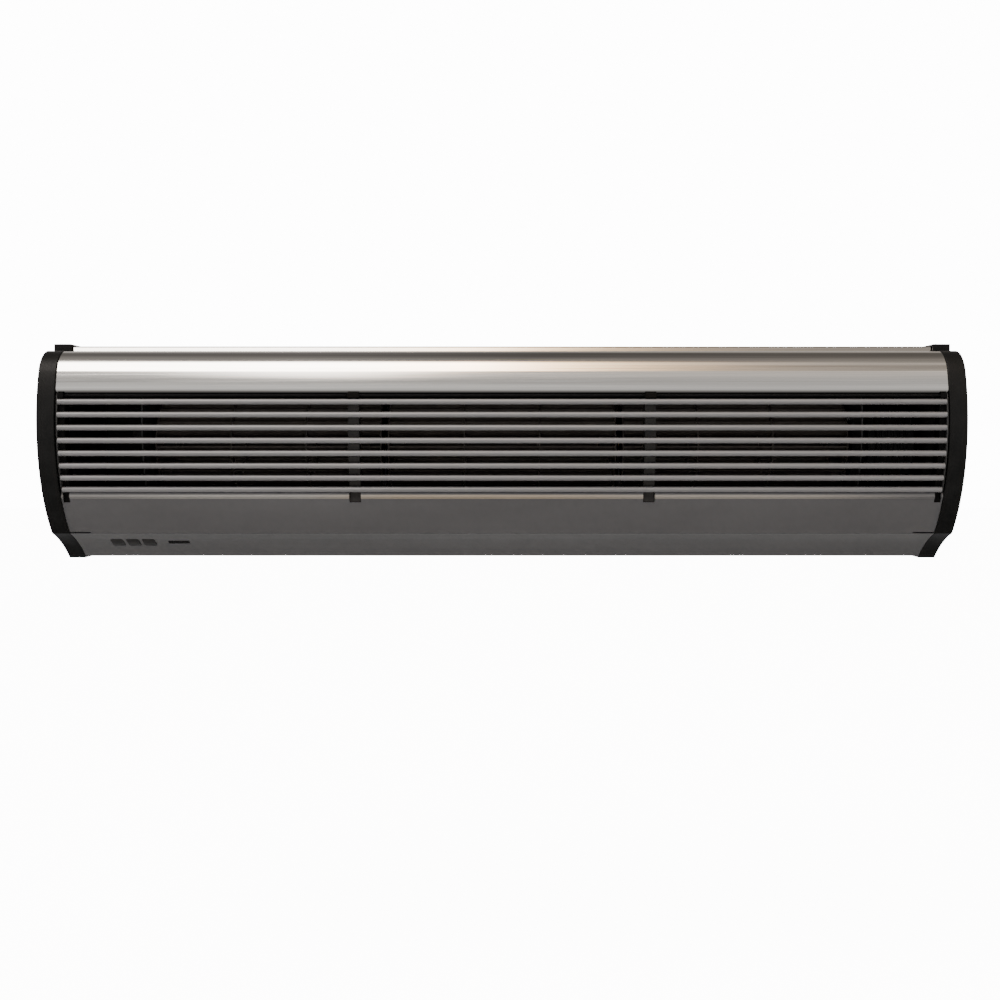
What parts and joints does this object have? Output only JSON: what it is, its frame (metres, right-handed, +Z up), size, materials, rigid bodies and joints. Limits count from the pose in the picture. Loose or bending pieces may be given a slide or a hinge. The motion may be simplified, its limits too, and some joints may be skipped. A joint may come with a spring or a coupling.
{
  "type": "air curtain",
  "caption": "Wall-mounted air curtain with a cross-flow fan behind a bowed slatted intake, a folded control band with push buttons, and a downward outlet with a tilting deflector vane.",
  "frame": {"origin": "centre of the four wall screw holes, on the wall plane", "axes": "+X along the unit's length, +Y into the wall, front faces -Y, +Z up"},
  "size_m": [0.9, 0.18, 0.2185],
  "materials": {
    "brushed_cover": "brushed",
    "slat_metal": "satin",
    "fascia_paint": "satin metallic",
    "black_plastic": "fine texture",
    "button_plastic": "satin",
    "window_plastic": "polished",
    "galvanised": "zinc plated",
    "rotor_aluminium": "black anodised",
    "black_coat": "black powder coat",
    "shaft_steel": "ground",
    "rubber": "matt",
    "bush_bronze": "sintered",
    "motor_case": "painted",
    "white_plastic": "moulded",
    "board_green": "solder mask",
    "screw_zinc": "zinc plated"
  },
  "bodies": {
    "housing": {"wall_plate": "galvanised", "rear_casing": "brushed_cover", "end_tray_left": "brushed_cover", "end_tray_right": "brushed_cover", "end_plate_left": "black_coat", "end_plate_right": "black_coat", "top_cover": "brushed_cover", "intake_slats": "slat_metal", "comb_left": "black_plastic", "comb_right": "black_plastic", "end_comb_left": "black_plastic", "end_comb_right": "black_plastic", "front_fascia": "fascia_paint", "end_cap_left": "black_plastic", "end_cap_right": "black_plastic", "bulkhead_left": "black_coat", "bulkhead_right": "black_coat", "scroll": "black_coat", "tongue": "black_coat", "end_bearing": "rubber", "hanger_left": "black_coat", "hanger_right": "black_coat", "hanger_bushes": "bush_bronze", "motor_body": "motor_case", "motor_spacers": "rubber", "motor_bolts": "screw_zinc", "run_capacitor": "white_plastic", "capacitor_strap": "galvanised", "terminal_block": "white_plastic", "button_guide": "black_plastic", "control_board": "board_green", "receiver_window": "window_plastic", "vane_bushes": "white_plastic", "cable_grommet": "rubber", "cap_screws": "screw_zinc", "casing_screws": "screw_zinc", "locking_screws": "screw_zinc"},
    "rotor": {"drum_left": "rotor_aluminium", "drum_middle": "rotor_aluminium", "drum_right": "rotor_aluminium", "drum_hubs": "rubber", "stub_shaft": "shaft_steel", "link_shafts": "shaft_steel", "motor_shaft": "shaft_steel"},
    "button_1": {"button_1": "button_plastic"},
    "button_2": {"button_2": "button_plastic"},
    "button_3": {"button_3": "button_plastic"},
    "vane": {"deflector_vane": "brushed_cover"}
  },
  "joints": [
    {"name": "rotor_spin", "type": "hinge", "parent": "housing", "child": "rotor", "pos_m": [0, -0.088, 0.008], "axis": [1, 0, 0], "continuous": true},
    {"name": "button_1_press", "type": "slide", "parent": "housing", "child": "button_1", "axis": [0, 0.442, 0.897], "range_m": [0, 0.0006], "stiffness_N_per_m": 1500, "springref_m": -0.0006},
    {"name": "button_2_press", "type": "slide", "parent": "housing", "child": "button_2", "axis": [0, 0.442, 0.897], "range_m": [0, 0.0006], "stiffness_N_per_m": 1500, "springref_m": -0.0006},
    {"name": "button_3_press", "type": "slide", "parent": "housing", "child": "button_3", "axis": [0, 0.442, 0.897], "range_m": [0, 0.0006], "stiffness_N_per_m": 1500, "springref_m": -0.0006},
    {"name": "vane_tilt", "type": "hinge", "parent": "housing", "child": "vane", "pos_m": [0, -0.04475, -0.0925], "axis": [1, 0, 0], "range_deg": [-25, 25]}
  ]
}
